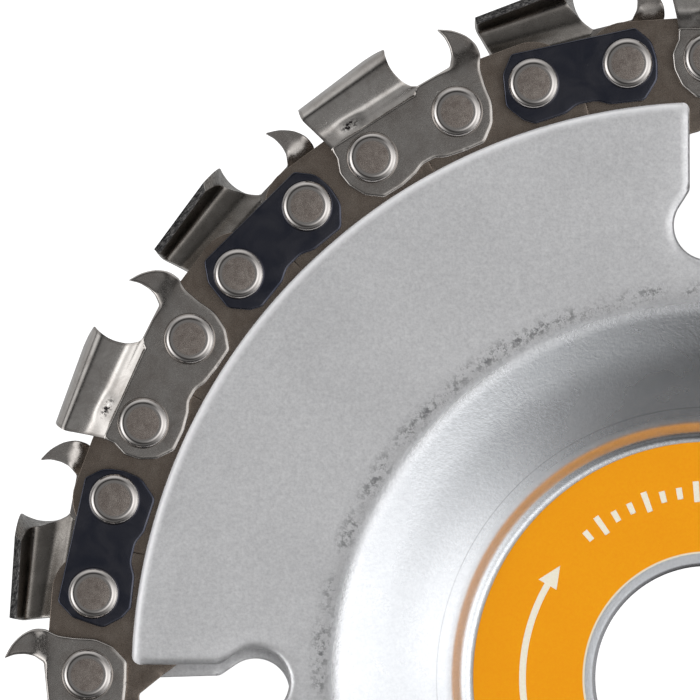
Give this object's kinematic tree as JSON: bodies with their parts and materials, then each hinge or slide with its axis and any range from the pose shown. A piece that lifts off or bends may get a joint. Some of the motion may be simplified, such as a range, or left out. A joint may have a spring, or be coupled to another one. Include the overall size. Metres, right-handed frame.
{
  "type": "angle grinder carving disc",
  "caption": "Wood carving disc for an angle grinder: a ring of saw chain with left and right cutters, held round its edge between two dished steel plates with a round bore.",
  "frame": {"origin": "on the bore axis, in the plane of the hub's back face, which lies on the grinder's flange", "axes": "+Z along the bore axis out of the front of the disc, where the clamp nut goes; +X and +Y run along the keyhole slots of the front plate, within a quarter of a degree; seen from the front the disc cuts clockwise"},
  "size_m": [0.1014, 0.1012, 0.0082],
  "materials": {
    "zinc_plate": "zinc-plated pressed steel, matt with a fine spangle",
    "cutter_steel": "punched and ground chain steel, satin grey with bright filed edges",
    "drive_link_steel": "tumbled chain steel, brownish grey, satin",
    "blued_strap": "heat-blued steel, dark blue-black, satin",
    "rivet_steel": "spun rivet head, polished rim with a duller face",
    "label": "printed adhesive ring, satin orange with pale marks"
  },
  "bodies": {
    "back_plate_body": {"back_plate": "zinc_plate"},
    "chain_ring": {"left_cutter_01": "cutter_steel", "tie_strap_01": "blued_strap", "trailing_rivet_01": "rivet_steel", "leading_rivet_01": "rivet_steel", "drive_link_01": "drive_link_steel", "right_cutter_02": "cutter_steel", "tie_strap_02": "blued_strap", "trailing_rivet_02": "rivet_steel", "leading_rivet_02": "rivet_steel", "drive_link_02": "drive_link_steel", "left_cutter_03": "cutter_steel", "tie_strap_03": "blued_strap", "trailing_rivet_03": "rivet_steel", "leading_rivet_03": "rivet_steel", "drive_link_03": "drive_link_steel", "right_cutter_04": "cutter_steel", "tie_strap_04": "blued_strap", "trailing_rivet_04": "rivet_steel", "leading_rivet_04": "rivet_steel", "drive_link_04": "drive_link_steel", "left_cutter_link_05": "cutter_steel", "drive_link_05": "drive_link_steel", "right_cutter_link_06": "cutter_steel", "drive_link_06": "drive_link_steel", "left_cutter_link_07": "cutter_steel", "drive_link_07": "drive_link_steel", "right_cutter_link_08": "cutter_steel", "drive_link_08": "drive_link_steel", "left_cutter_link_09": "cutter_steel", "drive_link_09": "drive_link_steel", "right_cutter_link_10": "cutter_steel", "drive_link_10": "drive_link_steel", "left_cutter_link_11": "cutter_steel", "drive_link_11": "drive_link_steel", "right_cutter_link_12": "cutter_steel", "drive_link_12": "drive_link_steel", "left_cutter_link_13": "cutter_steel", "drive_link_13": "drive_link_steel", "right_cutter_link_14": "cutter_steel", "drive_link_14": "drive_link_steel", "left_cutter_link_15": "cutter_steel", "drive_link_15": "drive_link_steel", "right_cutter_link_16": "cutter_steel", "drive_link_16": "drive_link_steel", "left_cutter_link_17": "cutter_steel", "drive_link_17": "drive_link_steel", "right_cutter_link_18": "cutter_steel", "drive_link_18": "drive_link_steel", "left_cutter_link_19": "cutter_steel", "drive_link_19": "drive_link_steel", "right_cutter_link_20": "cutter_steel", "drive_link_20": "drive_link_steel", "left_cutter_link_21": "cutter_steel", "drive_link_21": "drive_link_steel", "right_cutter_link_22": "cutter_steel", "drive_link_22": "drive_link_steel"},
    "front_plate_body": {"front_plate": "zinc_plate", "label_ring": "label"}
  },
  "joints": [
    {"name": "chain_turn", "type": "hinge", "parent": "back_plate_body", "child": "chain_ring", "pos_m": [0, 0, 0.0058], "axis": [0, 0, 1], "continuous": true},
    {"name": "front_plate_lift", "type": "slide", "parent": "back_plate_body", "child": "front_plate_body", "axis": [0, 0, 1], "range_m": [0, 0.03]}
  ]
}
